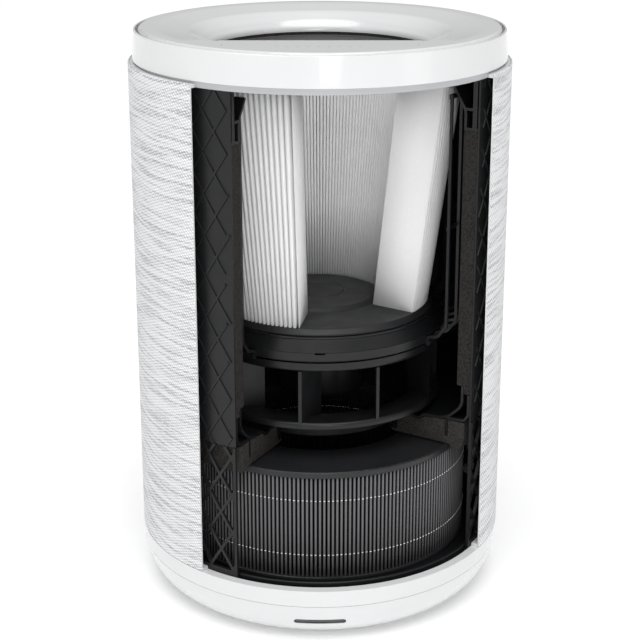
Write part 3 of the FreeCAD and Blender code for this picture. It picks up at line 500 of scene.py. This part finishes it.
def deck_seal():
    outline = rounded([(77.6, 155.6), (80.4, 152.9, 0.6), (139.6, 152.9), (140.2, 150.4, 0.5), (150.4, 149.8, 2.5),
                       (153.9, 157.7, 2.5), (153.9, 175.9, 0.6), (137.5, 175.7), (137.5, 160.1), (134.3, 160.1),
                       (134.3, 175.7), (112.9, 173.6), (107.8, 169.7), (103.0, 169.7), (97.2, 171.8),
                       (86.1, 171.8, 0.6), (84.3, 155.6), (81.5, 155.0)], 3)
    ring = swept(densify(outline, 3.0), WINDOW[0] + 0.05, WINDOW[1] - 0.1, 150, 0.08)
    piece = finish_piece("foam_ring", ring,
                         foam_deck, ("deck_seal",), 50.0)
    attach(piece, "chassis")


def gasket(name, inner, outer, node, body):
    bottom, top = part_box(node)
    low, high = bottom[2] / MM + 0.05, top[2] / MM - 0.05
    outline = rounded([(inner, low, 0.8), (outer, low, 0.8), (outer, high, 0.8), (inner, high, 0.8)], 4)
    piece = finish_piece(name, swept(outline, 0, 360, 160), foam_deck, (node,), 60.0)
    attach(piece, body)


def upper_pleats():
    first, sweep = FILTER
    body = pleated(UPPER_PLEATS, first + 0.1, sweep - 0.2, 272.05, 485.95, (100.3, 128.1), (57.7, 81.6), 0.34, 0.45, 4)
    piece = finish_piece("upper_pleats", body, white_paper, ("upper_media",), 70.0)
    thicken(piece, 0.45)
    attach(piece, "upper_filter")


def lower_pleats():
    body = pleated(LOWER_PLEATS, 0, 360, 51.45, 146.65, (137.5, 137.5), (84.9, 84.9), 0.27, 0.4, 3)
    piece = finish_piece("lower_pleats", body, dark_paper, ("lower_media",), 70.0)
    thicken(piece, 0.35)
    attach(piece, "lower_filter")
    bm = bmesh.new()
    for index in range(LOWER_PLEATS):
        azimuth = 360.0 * index / LOWER_PLEATS
        for radius, level in ((137.55, 125.2), (137.55, 72.7), (84.75, 125.2), (84.75, 72.7)):
            outside = radius > 100
            spot = place(radius, azimuth, level + random.uniform(-0.15, 0.15))
            made = bmesh.ops.create_icosphere(bm, subdivisions=1, radius=1.0)
            wide = random.uniform(0.80, 1.10) if outside else 0.5
            for vert in made["verts"]:
                v = vert.co
                across = place(1.0, azimuth + 90, 0) / MM
                out = place(1.0, azimuth, 0) / MM
                vert.co = spot + (across * (v.x + 0.25 * v.z) * wide + out * v.y * 0.45
                                  + Vector((0, 0, 1)) * v.z * random.uniform(0.50, 0.58)) * MM
    beads = finish_piece("glue_beads", {"mesh": bm}, glue, (), 80.0)
    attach(beads, "lower_filter")


def inner_mesh():
    """Welded plastic net inside the lower filter."""
    bm = bmesh.new()
    radius = 83.8
    for index in range(48):
        azimuth = 360.0 * index / 48
        wires = [place(r, azimuth + turn, z) for z in (51.5, 146.6)
                 for r, turn in ((radius - 0.35, -0.26), (radius + 0.35, -0.26),
                                 (radius + 0.35, 0.26), (radius - 0.35, 0.26))]
        verts = [bm.verts.new(w) for w in wires]
        for k in range(4):
            j = (k + 1) % 4
            bm.faces.new((verts[k], verts[j], verts[4 + j], verts[4 + k]))
        bm.faces.new(verts[:4])
        bm.faces.new(verts[4:][::-1])
    for level in range(8):
        z = 52.2 + level * (146.6 - 52.9) / 7
        ring = swept([(radius - 0.32, z - 0.35), (radius + 0.32, z - 0.35),
                      (radius + 0.32, z + 0.35), (radius - 0.32, z + 0.35)], 0, 360, 96)["mesh"]
        spare = bpy.data.meshes.new("spare")
        ring.to_mesh(spare)
        ring.free()
        bm.from_mesh(spare)
        bpy.data.meshes.remove(spare)
    piece = finish_piece("inner_net", {"mesh": bm}, dark_grey, ("lower_inner_mesh",), 40.0)
    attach(piece, "lower_filter")


def shell_ribs():
    """Raised diamond ribs on the plain wall, in line with the open lattice below."""
    bm = bmesh.new()
    first, sweep = WINDOW
    step = 180.0 / 42
    low, high, rise = 178.4, 489.0, 35.8
    levels = 36
    for index in range(-40, 130):
        for lean in (1, -1):
            points = []
            start = first + step + 2 * step * index
            for k in range(levels + 1):
                level = low + (high - low) * k / levels
                azimuth = start + lean * (level - 186.0 + rise / 2) / (rise / 2) * step
                inside = first + 0.7 < azimuth < first + sweep - 0.7
                if inside:
                    points.append((160.4, azimuth, level))
                elif points:
                    break
            if len(points) > 1:
                strip(bm, points, 2.4, 1.05)
    piece = finish_piece("shell_ribs", {"mesh": bm}, black_shell, (), 30.0)
    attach(piece, "chassis")


fabric_sleeve()
foam_liner()
deck_seal()
gasket("filter_gasket", 139.05, 143.1, "upper_seal", "upper_filter")
gasket("lid_gasket", 98.2, 105.9, "lid_seal", "lid")
upper_pleats()
lower_pleats()
inner_mesh()
shell_ribs()


# ---------------------------------------------------------------- stage
def floor():
    n = Nodes("floor_white")
    shade = n.mix(n.noise(3.0, 2.0), (0.90, 0.90, 0.90), (0.93, 0.93, 0.93))
    n.set(color=shade, rough=0.9, glow=(1, 1, 1), emit=0.12)
    mesh = bpy.data.meshes.new("floor")
    size = 14.0
    corners = [(-size, -size, 0), (size, -size, 0), (size, size, 0), (-size, size, 0)]
    mesh.from_pydata(corners, [], [(0, 1, 2, 3)])
    piece = bpy.data.objects.new("floor", mesh)
    bpy.context.scene.collection.objects.link(piece)
    mesh.materials.append(n.material)


def area(name, spot, target, size, energy, shade=(1, 1, 1)):
    light = bpy.data.lights.new(name, "AREA")
    light.shape = "RECTANGLE"
    light.size, light.size_y = size
    light.energy = energy
    light.color = shade
    item = bpy.data.objects.new(name, light)
    bpy.context.scene.collection.objects.link(item)
    item.location = spot
    item.rotation_euler = (Vector(target) - Vector(spot)).to_track_quat("-Z", "Y").to_euler()


floor()
area("key", (-1.5, -1.5, 1.5), (0, 0, 0.25), (0.9, 1.6), 5.6)
area("fill", (1.7, -1.1, 0.9), (0, 0, 0.25), (0.7, 1.6), 2.4)
area("front", (0.15, -2.4, 1.0), (0, 0, 0.3), (1.0, 0.8), 6.8)
area("window", (0.10, -1.3, 0.62), (0.0, 0.08, 0.38), (0.3, 0.3), 1.6)

overhead = bpy.data.lights.new("overhead", "SUN")
overhead.energy = 1.9
overhead.angle = math.radians(50)
overhead_lamp = bpy.data.objects.new("overhead", overhead)
bpy.context.scene.collection.objects.link(overhead_lamp)
overhead_lamp.rotation_euler = (math.radians(14), 0, 0)

world = bpy.data.worlds.new("studio")
world.use_nodes = True
sky = world.node_tree.nodes["Background"]
sky.inputs["Color"].default_value = (1, 1, 1, 1)
seen = world.node_tree.nodes.new("ShaderNodeLightPath").outputs["Is Camera Ray"]
bright = world.node_tree.nodes.new("ShaderNodeMapRange")
bright.inputs["To Min"].default_value = SKY_LIGHT
bright.inputs["To Max"].default_value = SKY_SEEN
world.node_tree.links.new(seen, bright.inputs["Value"])
world.node_tree.links.new(bright.outputs[0], sky.inputs["Strength"])
bpy.context.scene.world = world
bpy.context.scene.view_settings.view_transform = "Standard"

# ---------------------------------------------------------------- camera
camera_data = bpy.data.cameras.new("camera")
camera_data.sensor_width = 36.0
camera_data.lens = 87.7
camera_data.shift_y = -0.06
camera = bpy.data.objects.new("camera", camera_data)
bpy.context.scene.collection.objects.link(camera)
camera.location = (0.0, -1.3813, 0.7204)
camera.rotation_euler = (math.radians(90 - 17.55), 0, 0)
bpy.context.scene.camera = camera
